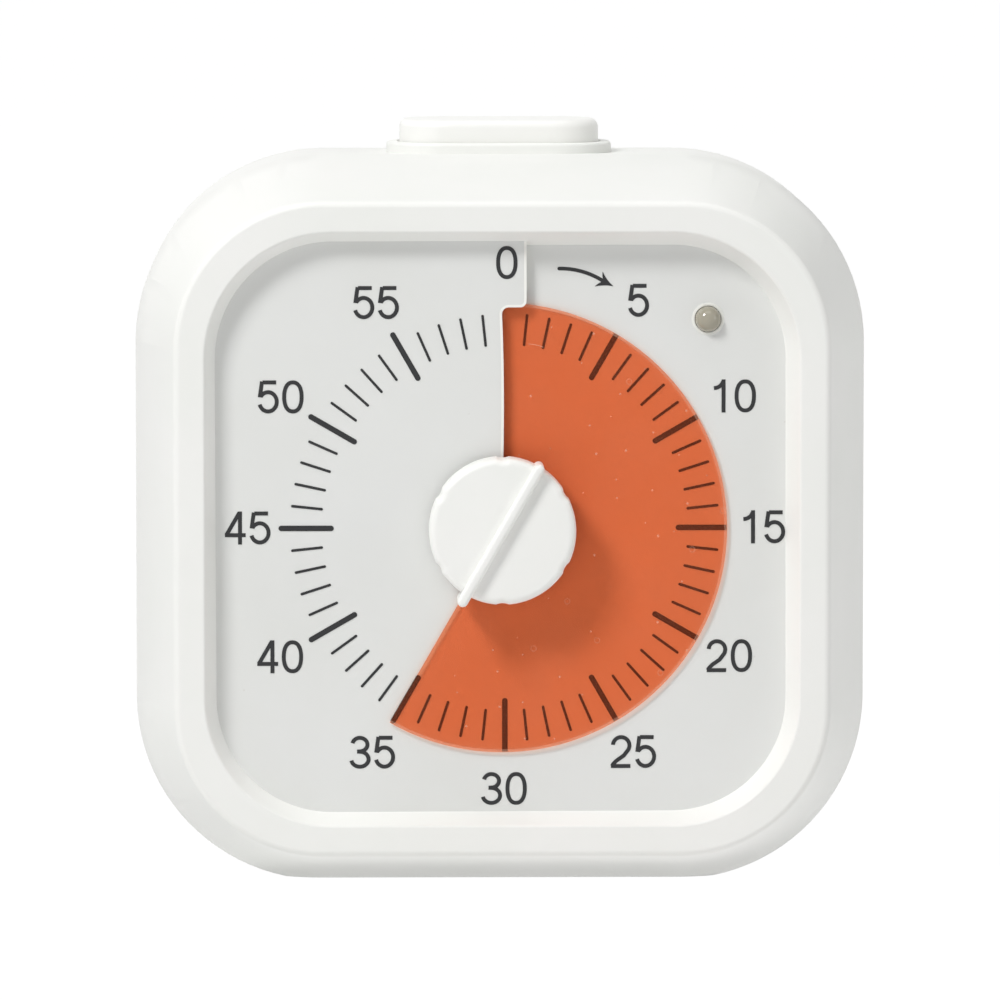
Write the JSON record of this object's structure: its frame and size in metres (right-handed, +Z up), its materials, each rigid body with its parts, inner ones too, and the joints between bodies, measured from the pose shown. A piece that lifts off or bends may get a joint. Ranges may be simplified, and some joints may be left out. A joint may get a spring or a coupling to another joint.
{
  "type": "visual countdown timer",
  "caption": "Square desk timer: a central knob feeds a translucent colour disc through a slit in a climbing dial, so that the coloured sector shows the minutes left.",
  "frame": {"origin": "middle of the flat base that the timer stands on", "axes": "+Z up, the dial faces -Y, +X to the right of someone who faces the dial"},
  "size_m": [0.078, 0.0394, 0.0812],
  "materials": {
    "case_white": "fine moulded texture",
    "button_white": "satin",
    "knob_white": "satin",
    "inner_white": "as moulded",
    "dial_print": "printed sheet",
    "orange_film": "translucent film",
    "hub_orange": "as moulded",
    "bright_steel": "turned",
    "spring_steel": "nickel plated",
    "brass": "turned",
    "gear_white": "as moulded",
    "gear_dark": "magnet ferrite",
    "stator_iron": "stamped",
    "coil_copper": "wound copper wire",
    "tinned_wire": "tinned",
    "movement_black": "as moulded",
    "board_green": "lacquered board",
    "chip_black": "moulded",
    "buzzer_black": "moulded",
    "clear_lens": "clear epoxy",
    "stem_plastic": "as moulded",
    "cell_sleeve": "plain sleeve",
    "lead_red": "insulated wire",
    "screw_zinc": "zinc plated"
  },
  "bodies": {
    "case": {"front_case": "case_white", "rear_case": "case_white", "dial_plate": "dial_print", "dial_carrier": "inner_white", "led": "clear_lens", "button_collar": "case_white", "circuit_board": "board_green", "control_chip": "chip_black", "crystal": "bright_steel", "buzzer": "buzzer_black", "tact_switch": "chip_black", "movement_frame": "movement_black", "movement_cover": "movement_black", "stator": "stator_iron", "coil": "coil_copper", "coil_leads": "tinned_wire", "battery_cell_upper": "cell_sleeve", "battery_cell_lower": "cell_sleeve", "battery_contacts": "spring_steel", "battery_springs": "spring_steel", "battery_leads": "lead_red", "case_screws": "screw_zinc", "carrier_screws": "screw_zinc", "board_screws": "screw_zinc", "movement_screws": "screw_zinc"},
    "knob_assembly": {"knob": "knob_white", "spindle": "bright_steel", "clutch_washer": "spring_steel", "clutch_ring": "brass"},
    "disc_assembly": {"colour_disc": "orange_film", "disc_hub": "hub_orange"},
    "button": {"button_cap": "button_white", "switch_stem": "stem_plastic"},
    "door": {"battery_door": "case_white"},
    "centre_wheel_body": {"centre_wheel": "brass"},
    "third_wheel_body": {"third_wheel": "gear_white"},
    "seconds_wheel_body": {"seconds_wheel": "gear_white"},
    "intermediate_wheel_body": {"intermediate_wheel": "gear_white"},
    "rotor_body": {"rotor": "gear_dark"}
  },
  "joints": [
    {"name": "knob_turn", "type": "hinge", "parent": "case", "child": "knob_assembly", "pos_m": [0, -0.02425, 0.0386], "axis": [0, 1, 0], "range_deg": [-210, 150]},
    {"name": "disc_feed", "type": "slide", "parent": "knob_assembly", "child": "disc_assembly", "axis": [0, -1, 0], "range_m": [-0.00065, 0.00047]},
    {"name": "button_press", "type": "slide", "parent": "case", "child": "button", "axis": [0, 0, -1], "range_m": [0, 0.0006], "stiffness_N_per_m": 1500},
    {"name": "door_tilt", "type": "hinge", "parent": "case", "child": "door", "pos_m": [0, 0.01175, 0.0126], "axis": [-1, 0, 0], "range_deg": [0, 90]},
    {"name": "seconds_turn", "type": "hinge", "parent": "case", "child": "seconds_wheel_body", "pos_m": [-0.01358, -0.01225, 0.03775], "axis": [0, 1, 0], "continuous": true},
    {"name": "intermediate_turn", "type": "hinge", "parent": "case", "child": "intermediate_wheel_body", "pos_m": [-0.01176, -0.01225, 0.04451], "axis": [0, 1, 0], "continuous": true},
    {"name": "rotor_turn", "type": "hinge", "parent": "case", "child": "rotor_body", "pos_m": [-0.00613, -0.01225, 0.04657], "axis": [0, 1, 0], "continuous": true},
    {"name": "third_turn", "type": "hinge", "parent": "case", "child": "third_wheel_body", "pos_m": [-0.00721, -0.01225, 0.03139], "axis": [0, 1, 0], "continuous": true},
    {"name": "centre_turn", "type": "hinge", "parent": "case", "child": "centre_wheel_body", "pos_m": [0, -0.01525, 0.0386], "axis": [0, 1, 0], "continuous": true}
  ],
  "couplings": [
    {"joint": "disc_feed", "follows": "knob_turn", "m_per_rad": 0.00017507},
    {"joint": "intermediate_turn", "follows": "seconds_turn", "ratio": -6},
    {"joint": "rotor_turn", "follows": "seconds_turn", "ratio": 30},
    {"joint": "third_turn", "follows": "seconds_turn", "ratio": -0.125},
    {"joint": "centre_turn", "follows": "seconds_turn", "ratio": 0.016667}
  ]
}
